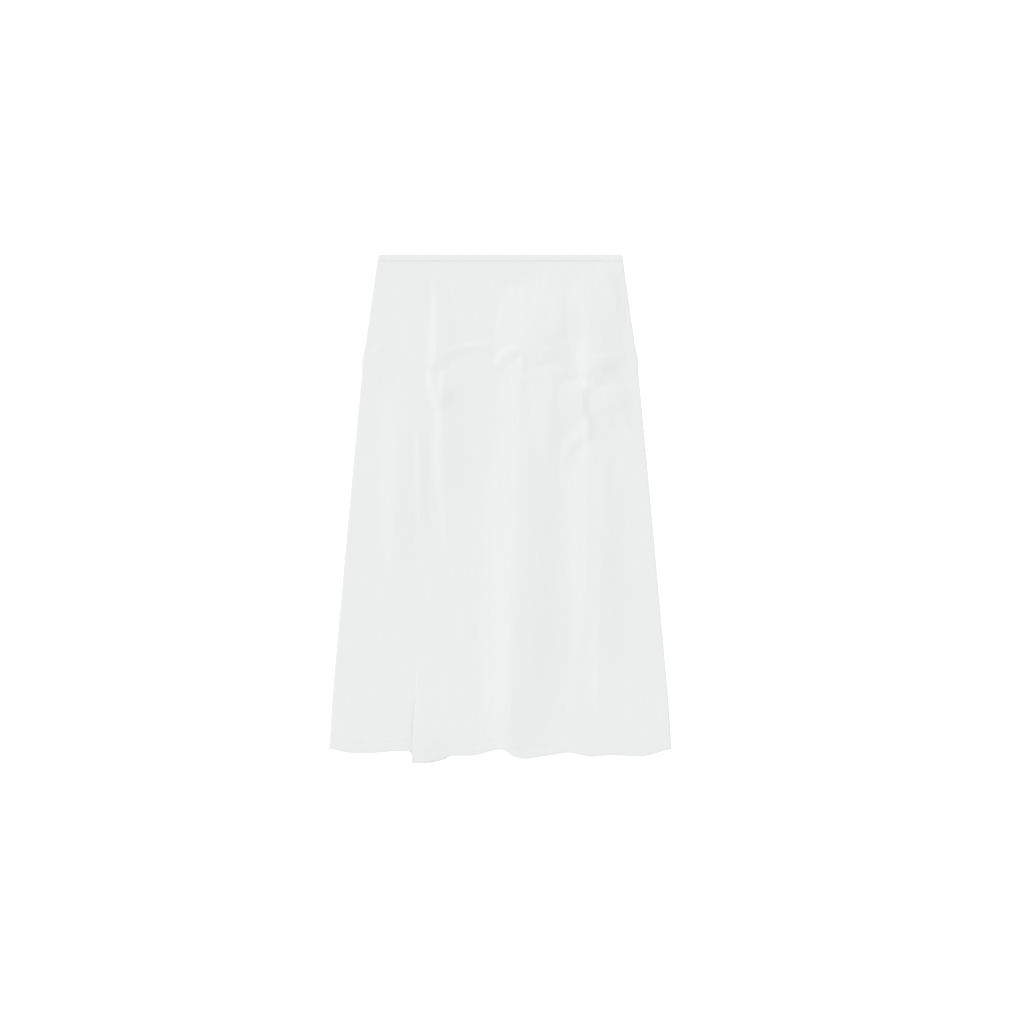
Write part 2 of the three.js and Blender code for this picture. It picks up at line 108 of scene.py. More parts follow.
# Folds and creases. A row gives a crest's place, its rise, and its run to the left and the right of
# the way down the table. A fold that leans lies over the cloth on its left. The foot says how its
# left side meets the cloth: 2 in a soft hollow, 1 at a straight slope, less with a round shoulder.
Crest = namedtuple("Crest", "x drop rise left right")
Fold = namedtuple("Fold", "rows lean foot", defaults=[0, 2])
FOLDS = {
    "left_column": Fold([
        Crest(-199, 223, 0, 26, 40),
        Crest(-187, 281, 1.8, 38, 60),
        Crest(-186, 362, 3.1, 42, 66),
        Crest(-188, 452, 2.8, 34, 66),
        Crest(-193, 533, 1.5, 22, 60),
        Crest(-198, 623, 0, 10, 40),
    ]),
    "beside_left_column": Fold([
        Crest(-147, 299, 0, 10, 20),
        Crest(-146, 353, 1.2, 13, 26),
        Crest(-144, 443, 1.1, 13, 26),
        Crest(-142, 515, 0, 10, 20),
    ]),
    "left_hip": Fold([
        Crest(-120, 22, 0, 8, 20),
        Crest(-115, 83, 1.3, 13, 44),
        Crest(-114, 146, 2.3, 20, 50),
        Crest(-114, 180, 2.6, 22, 40),
        Crest(-124, 209, 0, 18, 16),
    ]),
    "left_pinch": Fold([
        Crest(-130, 205, 0, 8, 14),
        Crest(-124, 227, 2.2, 13, 30),
        Crest(-118, 245, 2.9, 14, 42),
        Crest(-113, 263, 2.5, 14, 44),
        Crest(-107, 284, 0, 9, 24),
    ]),
    "below_left_hip": Fold([
        Crest(-99, 202, 0, 10, 14),
        Crest(-101, 223, 1.2, 12, 34),
        Crest(-103, 263, 1.7, 17, 44),
        Crest(-104, 299, 1.6, 16, 50),
        Crest(-104, 353, 2.5, 27, 58),
        Crest(-101, 425, 1.7, 20, 60),
        Crest(-98, 497, 0.7, 12, 60),
        Crest(-97, 605, 0.3, 40, 60),
        Crest(-97, 767, 0.6, 70, 50),
        Crest(-97, 938, 1.4, 80, 40),
    ]),
    "belly": Fold([
        Crest(88, 16, 0, 36, 60),
        Crest(92, 42, 2.0, 50, 90),
        Crest(92, 76, 3.4, 68, 100),
        Crest(81, 104, 4.5, 84, 110),
        Crest(65, 133, 4.9, 76, 110),
        Crest(56, 162, 4.5, 68, 104),
        Crest(47, 194, 2.8, 58, 96),
        Crest(40, 227, 1.0, 44, 76),
        Crest(38, 254, 0, 30, 56),
    ], foot=0.9),
    "beside_belly": Fold([
        Crest(101, 65, 0, 12, 24),
        Crest(103, 92, 0.8, 26, 44),
        Crest(104, 119, 1.4, 24, 46),
        Crest(104, 137, 1.3, 20, 42),
        Crest(104, 157, 0, 12, 24),
    ]),
    "centre_column": Fold([
        Crest(35, 180, 0, 16, 36),
        Crest(38, 212, 2.0, 34, 70),
        Crest(38, 263, 3.0, 54, 84),
        Crest(40, 335, 4.0, 60, 86),
        Crest(36, 407, 5.2, 68, 88),
        Crest(31, 551, 7.0, 73, 94),
        Crest(26, 695, 8.2, 72, 100),
        Crest(21, 803, 6.6, 59, 104),
        Crest(19, 875, 3.4, 48, 104),
        Crest(18, 938, 2.4, 44, 104),
    ]),
    "beside_centre_column": Fold([
        Crest(91, 200, 0, 36, 40),
        Crest(91, 222, 3.0, 46, 54),
        Crest(89, 263, 3.7, 44, 56),
        Crest(87, 308, 2.8, 28, 52),
        Crest(84, 353, 1.2, 16, 46),
        Crest(80, 392, 0, 12, 40),
    ], foot=1.3),
    "right_hip": Fold([
        Crest(158, 14, 0, 26, 40),
        Crest(166, 56, 2.8, 45, 74),
        Crest(166, 101, 4.3, 46, 82),
        Crest(166, 155, 4.8, 44, 84),
        Crest(167, 176, 4.4, 40, 82),
        Crest(167, 189, 3.9, 38, 80),
        Crest(165, 203, 3.1, 30, 76),
        Crest(161, 218, 2.0, 20, 60),
        Crest(157, 234, 0.9, 12, 34),
        Crest(154, 246, 0, 8, 24),
    ], foot=1.15),
    "right_hip_foot": Fold([
        Crest(208, 180, 0, 8, 30),
        Crest(190, 187, 0.7, 14, 60),
        Crest(176, 198, 0.7, 16, 60),
        Crest(165, 212, 0.4, 12, 50),
        Crest(159, 226, 0, 8, 24),
    ], foot=1.3),
    "right_hip_tip": Fold([
        Crest(156, 146, 0, 8, 20),
        Crest(154, 168, 1.2, 16, 40),
        Crest(154, 188, 2.4, 19, 74),
        Crest(156, 204, 3.0, 19, 78),
        Crest(159, 220, 2.6, 17, 60),
        Crest(159, 235, 1.1, 12, 30),
        Crest(158, 246, 0, 8, 12),
    ], foot=1.15),
    "right_waist_arc": Fold([
        Crest(178, 14, 0, 24, 24),
        Crest(201, 52, 1.5, 34, 30),
        Crest(216, 84, 1.6, 34, 26),
        Crest(225, 112, 1.1, 30, 22),
        Crest(230, 140, 0, 20, 20),
    ], foot=1.3),
    "right_fan": Fold([
        Crest(224, 234, 0, 12, 30),
        Crest(212, 241, 1.7, 34, 46),
        Crest(201, 250, 3.0, 46, 44),
        Crest(198, 262, 3.5, 45, 44),
        Crest(195, 278, 3.1, 41, 44),
        Crest(194, 294, 1.9, 30, 46),
        Crest(187, 311, 0, 10, 24),
    ], foot=0.6),
    "beside_right_fan": Fold([
        Crest(211, 236, 0, 8, 14),
        Crest(214, 252, 0.7, 15, 34),
        Crest(217, 270, 1.0, 16, 36),
        Crest(222, 292, 1.1, 15, 30),
        Crest(229, 317, 0.9, 14, 24),
        Crest(237, 352, 0, 10, 16),
    ]),
    "above_right_column": Fold([
        Crest(152, 229, 0, 16, 9),
        Crest(150, 240, 2.2, 43, 13),
        Crest(149, 252, 2.8, 44, 14),
        Crest(148, 267, 2.8, 44, 14),
        Crest(149, 283, 2.6, 44, 14),
        Crest(153, 299, 2.6, 44, 19),
        Crest(152, 316, 2.6, 42, 24),
        Crest(145, 331, 2.3, 30, 24),
        Crest(128, 345, 1.7, 18, 24),
        Crest(119, 366, 1.2, 14, 26),
        Crest(122, 398, 0, 12, 20),
    ], foot=1.15),
    "under_right_fan": Fold([
        Crest(153, 226, 0, 20, 40),
        Crest(150, 242, 1.5, 42, 70),
        Crest(150, 267, 1.7, 44, 72),
        Crest(151, 288, 1.2, 42, 66),
        Crest(154, 314, 0, 30, 40),
    ], foot=1.15),
    "right_column": Fold([
        Crest(161, 288, 0, 10, 24),
        Crest(160, 310, 1.9, 16, 44),
        Crest(160, 344, 2.2, 18, 50),
        Crest(160, 376, 3.0, 40, 56),
        Crest(161, 443, 3.5, 52, 64),
        Crest(160, 551, 3.7, 46, 74),
        Crest(156, 632, 2.8, 36, 80),
        Crest(151, 704, 1.5, 30, 86),
        Crest(150, 785, 1.1, 60, 92),
        Crest(148, 938, 1.8, 90, 90),
    ]),
    "beside_right_column": Fold([
        Crest(184, 335, 0, 10, 24),
        Crest(186, 407, 0.9, 16, 40),
        Crest(188, 479, 1.3, 20, 46),
        Crest(182, 587, 1.4, 24, 50),
        Crest(180, 686, 1.5, 28, 54),
        Crest(179, 776, 1.4, 24, 54),
        Crest(179, 848, 0.3, 14, 50),
        Crest(179, 938, 0, 14, 50),
    ]),
    "left_hip_crease": Fold([
        Crest(-237, 175, 0, 16, 8),
        Crest(-219, 171, 1.0, 26, 9),
        Crest(-198, 175, 0.2, 22, 8),
        Crest(-111, 181, 0.1, 18, 8),
        Crest(-79, 170, 1.0, 26, 8),
        Crest(-45, 164, 1.2, 30, 8),
        Crest(-24, 163, 0.8, 26, 8),
        Crest(-6, 166, 0, 18, 8),
    ]),
    "hip_arch": Fold([
        Crest(-8, 206, 0, 12, 6),
        Crest(-2, 195, 1.1, 20, 10),
        Crest(9, 182, 1.1, 26, 15),
        Crest(24, 174, 1.5, 22, 13),
        Crest(38, 180, 1.4, 14, 12),
        Crest(42, 196, 0.9, 12, 9),
        Crest(42, 214, 0, 8, 6),
    ]),
    "right_hip_crease": Fold([
        Crest(70, 174, 0, 16, 8),
        Crest(92, 173, 0.6, 22, 8),
        Crest(116, 177, 0.1, 20, 8),
        Crest(173, 188, 0.4, 16, 8),
        Crest(193, 185, 0.7, 18, 8),
        Crest(213, 188, 0, 16, 8),
    ]),
    "hem_overlap": Fold([
        Crest(-146, 735, 0, 5, 40),
        Crest(-146, 780, 0.5, 6, 48),
        Crest(-146, 820, 2.0, 7, 58),
        Crest(-145, 870, 4.4, 7, 66),
        Crest(-145, 938, 6.6, 7, 68),
    ], lean=15),
    "left_hem": Fold([
        Crest(-266, 731, 0, 30, 40),
        Crest(-266, 821, 0.3, 50, 60),
        Crest(-266, 938, 0.5, 56, 70),
    ]),
    "mid_left": Fold([
        Crest(-68, 551, 0, 50, 24),
        Crest(-68, 731, 0.3, 50, 40),
        Crest(-72, 938, 0.6, 50, 50),
    ]),
    "right_hem": Fold([
        Crest(252, 695, 0, 60, 30),
        Crest(252, 803, 0.6, 90, 36),
        Crest(256, 938, 1.5, 100, 34),
    ]),
}

# Shallow creases of the back, which lift its flat underside a little
BACK_CREASES = {
    "back_left": Fold([
        Crest(-150, 180, 0, 20, 26),
        Crest(-144, 300, 0.4, 24, 30),
        Crest(-152, 520, 0.35, 24, 34),
        Crest(-160, 700, 0, 20, 30),
    ]),
    "back_centre": Fold([
        Crest(20, 190, 0, 20, 30),
        Crest(12, 330, 0.45, 26, 34),
        Crest(4, 560, 0.4, 30, 40),
        Crest(8, 780, 0, 26, 34),
    ]),
    "back_right": Fold([
        Crest(170, 200, 0, 18, 30),
        Crest(158, 340, 0.4, 22, 30),
        Crest(166, 600, 0.3, 24, 36),
        Crest(176, 760, 0, 20, 30),
    ]),
    "back_hip": Fold([
        Crest(-120, 176, 0, 8, 14),
        Crest(-60, 168, 0.4, 9, 18),
        Crest(30, 170, 0.3, 9, 18),
        Crest(110, 178, 0, 8, 14),
    ]),
}
LINE_STEPS = 6
CREST_ROUND = 0.14
CREST_HOLLOW = 0.6

# Small unevenness of handled cloth: how high, and its size across and down
Uneven = namedtuple("Uneven", "height across down seed")
SOFT_WAVES = Uneven(0.45, 74, 260, 3.1)
SMALL_WAVES = Uneven(0.14, 21, 64, 8.7)
HIP_CREASES = Uneven(0.32, 26, 13, 5.3)
HIP_CREASES_FROM = 150
HIP_CREASES_START_OVER = 30
HIP_CREASES_TO = 262
HIP_CREASES_END_OVER = 40
HIP_CREASES_SLANT = 0.4
BAND_WAVES = Uneven(0.12, 34, 40, 2.2)

# What was cut for each piece: its greatest width and length, and its area in square metres
Cut = namedtuple("Cut", "width length area")
FRONT_CUT = Cut(630, 932, 0.507)
BACK_CUT = Cut(612, 932, 0.494)
BAND_CUT = Cut(444, 39, 0.0173)

# Stitches, and the groove that they pull into the cloth
STITCH_LENGTH = 2.7
STITCH_PITCH = 3.5
THREAD = 0.42
HEM_STITCH_DROP = SIDE_LENGTH - HEM_TURN + 2
BAND_STITCH_DROP = BAND_HEIGHT - 1.9
STITCH_GROOVE = 0.16
GROOVE_WIDTH = 1.6

# Rows and columns of the cloths' points. The hem's stitches and turn have rows of their own.
TURN_DROPS = SIDE_LENGTH - np.array([21.5, 20.6, 19.6, 18.8, 18, 17.2, 16.4, 14, 10.5, 7, 4, TURN_RADIUS])
TURNED_ROWS = len(TURN_DROPS) - 1
FRONT_ROWS = 182
FRONT_COLUMNS = 196
BACK_ROWS = 92
BACK_COLUMNS = 96
ROLL_STEPS = 8
BAND_COLUMNS = 150
END_STEPS = 9

# Where rows, by their drop, and columns, by their share of the way across, lie closer together
Crowd = namedtuple("Crowd", "place width much")
ROW_CROWDS = [Crowd(BAND_HEIGHT, 16, 2.5), Crowd(190, 60, 1.0), Crowd(260, 60, 0.6)]
COLUMN_CROWDS = [Crowd(-0.515, 0.05, 2.6), Crowd(0.53, 0.1, 0.7), Crowd(-0.42, 0.08, 0.5)]

# Colours, between which each surface varies
CLOTH_DARK = (0.786, 0.794, 0.794)
CLOTH_LIGHT = (0.802, 0.810, 0.810)
FLOOR_DARK = (0.955, 0.955, 0.955)
FLOOR_LIGHT = (0.965, 0.965, 0.965)

# The light from the upper left, the even sky, and the floor, half its size in metres
SUN_FROM = Vector((-0.55, 0.40, 0.75))
SUN_STRENGTH = 1.25
SUN_ANGLE = math.radians(30)
SKY_STRENGTH = 0.76
FLOOR_GLOW = 0.4
FLOOR_HALF = 60
FLOOR_BELOW = 0.3

# The photograph's frame, and the camera that gives it
PHOTO_PIXELS = 1024
MM_PER_PIXEL = 1.8
WAIST_PIXEL = 254
CENTRE_PIXEL = 500
LENS = 85
SENSOR = 36


def smooth(t):
    """Eases from 0 to 1, and stays there."""
    t = np.clip(t, 0, 1)
    return t * t * (3 - 2 * t)


def half_width(drop):
    return np.interp(drop, [row.drop for row in OUTLINE], [row.half for row in OUTLINE])


def fall_left(share, foot):
    """What is left of a rise on its left side, from a round crest to the foot that a fold has."""
    far = math.hypot(1, CREST_ROUND) - CREST_ROUND
    t = np.clip((np.hypot(share, CREST_ROUND) - CREST_ROUND) / far, 0, 1)
    return (1 - t) ** foot * (1 + CREST_HOLLOW * (foot - 1) * t)


def fall_right(share):
    """What is left of a rise on its right side, from a round crest to a soft hollow."""
    return 1 - smooth(share)


def hem_drop(x):
    """The drop of the hem's edge: an arc from side to side, with the folds' waves."""
    share = np.minimum(1, np.abs(x) / HEM_HALF)
    drop = CENTRE_LENGTH + (SIDE_LENGTH - CENTRE_LENGTH) * share**2
    for wave in HEM_WAVES:
        run = np.where(x < wave.x, wave.left, wave.right)
        drop = drop + wave.out * fall_right(np.abs(x - wave.x) / run)
    return np.minimum(drop, FULL_LENGTH)


def fold_line(rows):
    """A fold's rows as short straight pieces of a smooth line through them."""
    rows = np.array(rows, float)
    ends = np.vstack([2 * rows[0] - rows[1], rows, 2 * rows[-1] - rows[-2]])
    t = (np.arange(LINE_STEPS) / LINE_STEPS)[:, None]
    pieces = []
    for a, b, c, d in zip(ends, ends[1:], ends[2:], ends[3:]):
        bend = (2 * a - 5 * b + 4 * c - d) * t**2 + (3 * b - a - 3 * c + d) * t**3
        pieces.append(0.5 * (2 * b + (c - a) * t + bend))
    return np.vstack([*pieces, rows[-1:]])


def fold_rise(fold, x, drop):
    """The rise that a fold gives at each point, and how far its lean moves the point in x."""
    nearest = np.full(x.shape, np.inf)
    rise = np.zeros(x.shape)
    shift = np.zeros(x.shape)
    line = fold_line(fold.rows)
    highest = np.abs(line[:, 2]).max()
    for start, end in zip(line, line[1:]):
        along = end[:2] - start[:2]
        to_x = x - start[0]
        to_drop = drop - start[1]
        t = np.clip((to_x * along[0] + to_drop * along[1]) / (along @ along), 0, 1)
        away_x = to_x - t * along[0]
        away_drop = to_drop - t * along[1]
        distance = np.hypot(away_x, away_drop)
        on_left = along[1] * away_x - along[0] * away_drop < 0
        crest, left, right = (start[k] + t * (end[k] - start[k]) for k in (2, 3, 4))
        share = np.minimum(1, distance / np.where(on_left, left, right))
        fall = np.where(on_left, fall_left(share, fold.foot), fall_right(share))
        closer = distance < nearest
        rise = np.where(closer, crest * fall, rise)
        shift = np.where(closer, -fold.lean * np.sqrt(np.abs(crest) / highest) * fall, shift)
        nearest = np.minimum(nearest, distance)
    return rise, shift


def uneven(kind, x, drop):
    """Soft noise over the cloth, in millimetres, the same in each run."""
    places = zip(x.ravel() / kind.across, drop.ravel() / kind.down)
    values = [noise.noise(Vector((a, b, kind.seed))) for a, b in places]
    return kind.height * np.array(values).reshape(x.shape)


def back_top(drop):
    """The height of the back's upper face, which rises to the hem's second ply."""
    ease_over = 130
    return PLY + (TWO_PLY - PLY) * smooth((drop - SIDE_LENGTH + HEM_TURN + ease_over) / ease_over)


def rest_height(drop):
    """The height of the front's outer face where no fold lifts it."""
    lying = 2 * back_top(drop) + SEAM
    at_band = 2 * BAND_THICK
    leaves_band_over = 60
    return np.maximum(lying, at_band + (lying - at_band) * smooth(drop / leaves_band_over))


def roll_radius(drop):
    """The side fold's outer radius, which is also the height of its middle."""
    return (rest_height(drop) + ROLL_STANDS) / 2


def seam_tuck(drop):
    """How far in from the side fold's outside the back's edge lies, beside the front's."""
    hem_starts_over = 8
    in_hem = smooth((drop - TURN_DROPS[0] + hem_starts_over) / hem_starts_over)
    thickness = PLY + (TWO_PLY - PLY) * in_hem
    end_faces = ROLL_END + (math.pi / 2 - ROLL_END) / ROLL_STEPS / 2
    outer_edge = roll_radius(drop) * (1 - math.cos(ROLL_END))
    return outer_edge + thickness * math.cos(end_faces) + SEAM


def groove(drop, at):
    """How deep a row of stitches pulls the cloth in."""
    return STITCH_GROOVE * np.exp(-(((drop - at) / GROOVE_WIDTH) ** 2))


def below_band(drop):
    """How far the cloth dips to go in under the waistband's lower edge."""
    dip = 0.1
    dip_over = 5
    return dip * (1 - smooth((drop - BAND_HEIGHT) / dip_over))


def true_drop(x, nominal):
    """Near the hem, rows follow its waved edge."""
    shift_from = 690
    share = smooth((nominal - shift_from) / (SIDE_LENGTH - shift_from))
    return nominal + (hem_drop(x) - SIDE_LENGTH) * share


def front_face(drops, across, angles):
    """Points of the front's outer face. across is -1 to 1 between the side folds, and angles turn
    its ends down round them: a quarter turn is the top of a side fold."""
    nominal, s = np.meshgrid(drops, across, indexing="ij")
    angle = np.broadcast_to(angles, s.shape)
    radius = roll_radius(nominal)
    inner_half = half_width(nominal) - radius
    x = s * inner_half
    drop = true_drop(x, nominal)
    inward = (1 - np.abs(s)) * inner_half
    flat_part = smooth(inward / FOLDS_START_OVER)
    height = np.zeros(s.shape)
    lean = np.zeros(s.shape)
    for fold in FOLDS.values():
        rise, shift = fold_rise(fold, x, drop)
        height += rise
        lean += shift
    starts = smooth((nominal - HIP_CREASES_FROM) / HIP_CREASES_START_OVER)
    ends = smooth((HIP_CREASES_TO - nominal) / HIP_CREASES_END_OVER)
    height += uneven(SOFT_WAVES, x, drop) + uneven(SMALL_WAVES, x, drop)
    slanted = x + HIP_CREASES_SLANT * drop
    height += starts * ends * uneven(HIP_CREASES, slanted, drop)
    height = np.maximum(height, 0) + np.minimum(height, 0) * HOLLOWS_KEPT
    side_rise = ROLL_STANDS * (1 - smooth(inward / ROLL_FADES_OVER))
    z = rest_height(nominal) + side_rise + height * flat_part
    z -= below_band(nominal) + groove(nominal, HEM_STITCH_DROP)
    z += radius * (np.sin(angle) - 1)
    out = x + lean * flat_part + np.sign(s) * radius * np.cos(angle)
    return np.stack([out, FULL_LENGTH / 2 - drop, z], axis=-1)


def back_face(drops, across):
    """Points of the back's underside, flat on the table but for its creases and its waist seam."""
    nominal, s = np.meshgrid(drops, across, indexing="ij")
    x = s * (half_width(nominal) - seam_tuck(nominal))
    drop = true_drop(x, nominal)
    z = np.zeros(s.shape)
    for fold in BACK_CREASES.values():
        z += fold_rise(fold, x, drop)[0]
    z += BACK_DIP * below_band(nominal)
    return np.stack([x, FULL_LENGTH / 2 - drop, z], axis=-1)


def normals(points):
    """Which way a grid of points faces."""
    normal = np.cross(np.gradient(points, axis=0), np.gradient(points, axis=1))
    return normal / np.linalg.norm(normal, axis=-1, keepdims=True)


def with_hem(points, turned_rows):
    """A panel's rows, then its hem: round the lower edge and back up inside."""
    normal = normals(points)
    down = np.gradient(points, axis=0)[-1]
    down /= np.linalg.norm(down, axis=-1, keepdims=True)
    edge_angles = np.radians([30, 60, 90, 120, 150])
    edge = [
        points[-1] + TURN_RADIUS * (math.sin(a) * down - (1 - math.cos(a)) * normal[-1])
        for a in edge_angles
    ]
    inside = (points - 2 * TURN_RADIUS * normal)[-turned_rows:][::-1]
    return np.concatenate([points, np.array(edge), inside])


def crowded(low, high, count, crowds):
    """Places from low to high, closer together near each crowd."""
    samples = 4001
    fine = np.linspace(low, high, samples)
    density = np.ones(fine.shape)
    for crowd in crowds:
        density += crowd.much * np.exp(-(((fine - crowd.place) / crowd.width) ** 2))
    share = np.concatenate([[0], np.cumsum((density[1:] + density[:-1]) / 2)])
    return np.interp(np.linspace(0, share[-1], count), share, fine)


def object_of(name, work):
    """Turns a bmesh into an object of the scene."""
    mesh = bpy.data.meshes.new(name)
    work.to_mesh(mesh)
    work.free()
    made = bpy.data.objects.new(name, mesh)
    bpy.context.scene.collection.objects.link(made)
    return made


def cloth_mesh(name, points, flat, ply):
    """A cloth through a grid of points, with a wall behind them and its flat places as a UV map."""
    rows, columns = points.shape[:2]
    work = bmesh.new()
    bmesh.ops.create_grid(work, x_segments=columns - 1, y_segments=rows - 1, size=0.5)
    uv = work.loops.layers.uv.new("flat")
    for vertex in work.verts:
        column = round((vertex.co.x + 0.5) * (columns - 1))
        row = round((0.5 - vertex.co.y) * (rows - 1))
        vertex.co = points[row, column] * MM
        for loop in vertex.link_loops:
            loop[uv].uv = flat[row, column] * MM
    piece = object_of(name, work)
    piece.data.shade_smooth()
    wall = piece.modifiers.new("wall", "SOLIDIFY")
    wall.thickness = ply * MM
    wall.offset = -1
    wall.use_even_offset = False
    return piece


def flat_places(points):
    """Each point's place on the flat cloth, from the lengths along its row and its column."""
    step_x = np.linalg.norm(np.diff(points, axis=1), axis=-1)
    step_y = np.linalg.norm(np.diff(points, axis=0), axis=-1)
    u = np.concatenate([np.zeros((len(points), 1)), np.cumsum(step_x, axis=1)], axis=1)
    v = np.concatenate([[0], np.cumsum(step_y.mean(axis=1))])
    u -= u[:, -1:] / 2
    return np.stack([u, np.broadcast_to(-v[:, None], u.shape)], axis=-1)


def panel_drops(rows):
    """The drops of a panel's rows, from under the waistband to the hem's lower edge."""
    above_turn = TURN_DROPS[0] - 2
    return np.concatenate([crowded(BAND_HEIGHT, above_turn, rows, ROW_CROWDS), TURN_DROPS])


def front_stations():
    """Where the front's columns lie: across the face, and round the side folds at its ends."""
    face = crowded(-1, 1, FRONT_COLUMNS, COLUMN_CROWDS)
    turn = np.linspace(ROLL_END, math.pi / 2, ROLL_STEPS + 1)[:-1]
    across = np.concatenate([-np.ones(ROLL_STEPS), face, np.ones(ROLL_STEPS)])
    angles = np.concatenate([turn, np.full(len(face), math.pi / 2), turn[::-1]])
    return across, angles


def make_front():
    across, angles = front_stations()
    points = with_hem(front_face(panel_drops(FRONT_ROWS), across, angles), TURNED_ROWS)
    return cloth_mesh("front_cloth", points, flat_places(points), CLOTH_PLY)


def make_back():
    across = np.linspace(1, -1, BACK_COLUMNS)
    points = with_hem(back_face(panel_drops(BACK_ROWS), across), TURNED_ROWS)
    return cloth_mesh("back_cloth", points, flat_places(points), CLOTH_PLY)


def arc(centre_down, centre_up, radius, start, end, steps):
    """Points of a round edge in the waistband's section, angles in degrees from down the skirt."""
    turns = np.radians(np.linspace(start, end, steps))
    return [(centre_down + radius * math.cos(a), centre_up + radius * math.sin(a)) for a in turns]


def band_section():
    """The folded waistband in section: distance down from its top edge, and height over its inner
    face. It runs from the inner ply's turned edge over the top fold to the outer ply's."""
    edge_steps = 6
    top_steps = 9
    face_steps = 9
    low = BAND_HEIGHT - BAND_EDGE_RADIUS
    inner = arc(low, BAND_EDGE_RADIUS, BAND_EDGE_RADIUS, 90, -90, edge_steps)
    top = arc(BAND_TOP_RADIUS, BAND_TOP_RADIUS, BAND_TOP_RADIUS, -90, -270, top_steps)
    outer = arc(low, BAND_THICK - BAND_EDGE_RADIUS, BAND_EDGE_RADIUS, 90, -90, edge_steps)
    face = np.linspace(BAND_TOP_RADIUS, low, face_steps)[1:-1]
    turned = low - BAND_TURN_IN
    return np.array(
        [(turned, 2 * BAND_EDGE_RADIUS), *inner]
        + [(down, 0) for down in face[::-1]]
        + top
        + [(down, BAND_THICK) for down in face]
        + [*outer, (turned, BAND_THICK - 2 * BAND_EDGE_RADIUS)]
    )


def band_points(side):
    """One side of the waistband: side 1 is the front, over the back, which is -1."""
    section = band_section()
    end_width = BAND_THICK / WAIST_HALF
    end = end_width * (1 - np.cos(np.linspace(0, math.pi / 2, END_STEPS)[:-1]))
    middle = np.linspace(end_width - 1, 1 - end_width, BAND_COLUMNS)
    across = side * np.concatenate([end - 1, middle, 1 - end[::-1]])
    down, s = np.meshgrid(section[:, 0], across, indexing="ij")
    height = np.broadcast_to(section[:, 1:], s.shape)
    x = s * half_width(down)
    to_end = half_width(down) - np.abs(x)
    most_rounding = 0.85
    rounding = np.clip(1 - to_end / BAND_THICK, 0, most_rounding)
    height = height * np.sqrt(1 - rounding**2)
    steepest_corner = 0.95
    corner = np.clip(1 - to_end / BAND_CORNER, 0, steepest_corner)
    lowered = BAND_CORNER * (1 - np.sqrt(1 - corner**2))
    down = lowered + down * (BAND_HEIGHT - lowered) / BAND_HEIGHT
    outer_share = height / BAND_THICK
    height = height + outer_share * (uneven(BAND_WAVES, x, down) - groove(down, BAND_STITCH_DROP))
    middle_height = BAND_THICK + SEAM / 2
    z = middle_height + side * (SEAM / 2 + height)
    return np.stack([x, FULL_LENGTH / 2 - down, z], axis=-1)


def make_band(name, side):
    points = band_points(side)
    return cloth_mesh(name, points, flat_places(points), BAND_PLY)


def stitch_row(name, points):
    """A row of stitches along a line of points on the cloth's face, each half sunk in it."""
    steps = np.linalg.norm(np.diff(points, axis=0), axis=1)
    along = np.concatenate([[0], np.cumsum(steps)])
    count = int(along[-1] / STITCH_PITCH)
    starts = (np.arange(count) + 0.5) * along[-1] / count
    look_ahead = 1
    place = np.stack([np.interp(starts, along, points[:, k]) for k in range(3)], axis=-1)
    ahead = np.stack([np.interp(starts + look_ahead, along, points[:, k]) for k in range(3)], axis=-1)
    work = bmesh.new()
    size = Matrix.Diagonal((STITCH_LENGTH * MM, THREAD * MM, THREAD * MM, 1))
    for start, end in zip(place, ahead):
        turn = Vector(end - start).to_track_quat("X", "Z").to_matrix().to_4x4()
        at = Matrix.Translation(Vector(start) * MM) @ turn @ size
        bmesh.ops.create_uvsphere(work, u_segments=6, v_segments=5, radius=0.5, matrix=at)
    piece = object_of(name, work)
    piece.data.shade_smooth()
    return piece


def make_hem_stitches():
    line_points = 600
    across = np.linspace(-1, 1, line_points)
    level = np.full(across.shape, math.pi / 2)
    drops = np.array([HEM_STITCH_DROP])
    on_front = front_face(drops, across, level)[0]
    on_back = back_face(drops, across)[0]
    return stitch_row("hem_stitches_front", on_front), stitch_row("hem_stitches_back", on_back)


def make_band_stitches(name, side):
    margin = 4
    line_points = 300
    x = np.linspace(margin - WAIST_HALF, WAIST_HALF - margin, line_points)
    height = BAND_THICK + SEAM / 2 + side * (SEAM / 2 + BAND_THICK - STITCH_GROOVE)
    y = FULL_LENGTH / 2 - BAND_STITCH_DROP
    return stitch_row(name, np.stack([x, np.full(x.shape, y), np.full(x.shape, height)], axis=-1))


# Materials


def node(tree, kind, inputs=(), **settings):
    """A shader node with its settings, and its inputs given as values or as other sockets."""
    made = tree.nodes.new(kind)
    for name, value in settings.items():
        setattr(made, name, value)
    for name, value in dict(inputs).items():
        if isinstance(value, bpy.types.NodeSocket):
            tree.links.new(value, made.inputs[name])
        else:
            made.inputs[name].default_value = value
    return made


def new_material(name):
    """A material, its tree of nodes and its shader."""
    made = bpy.data.materials.new(name)
    made.use_nodes = True
    return made, made.node_tree, made.node_tree.nodes["Principled BSDF"]


def node_group(name, inputs, outputs):
    """An empty node group with named sockets: (name, kind, value) in, (name, kind) out."""
    group = bpy.data.node_groups.new(name, "ShaderNodeTree")
    for label, kind, value in inputs:
        socket = group.interface.new_socket(label, in_out="INPUT", socket_type=kind)
        if value is not None:
            socket.default_value = value
    for label, kind in outputs:
        group.interface.new_socket(label, in_out="OUTPUT", socket_type=kind)
    return group, group.nodes.new("NodeGroupInput"), group.nodes.new("NodeGroupOutput")


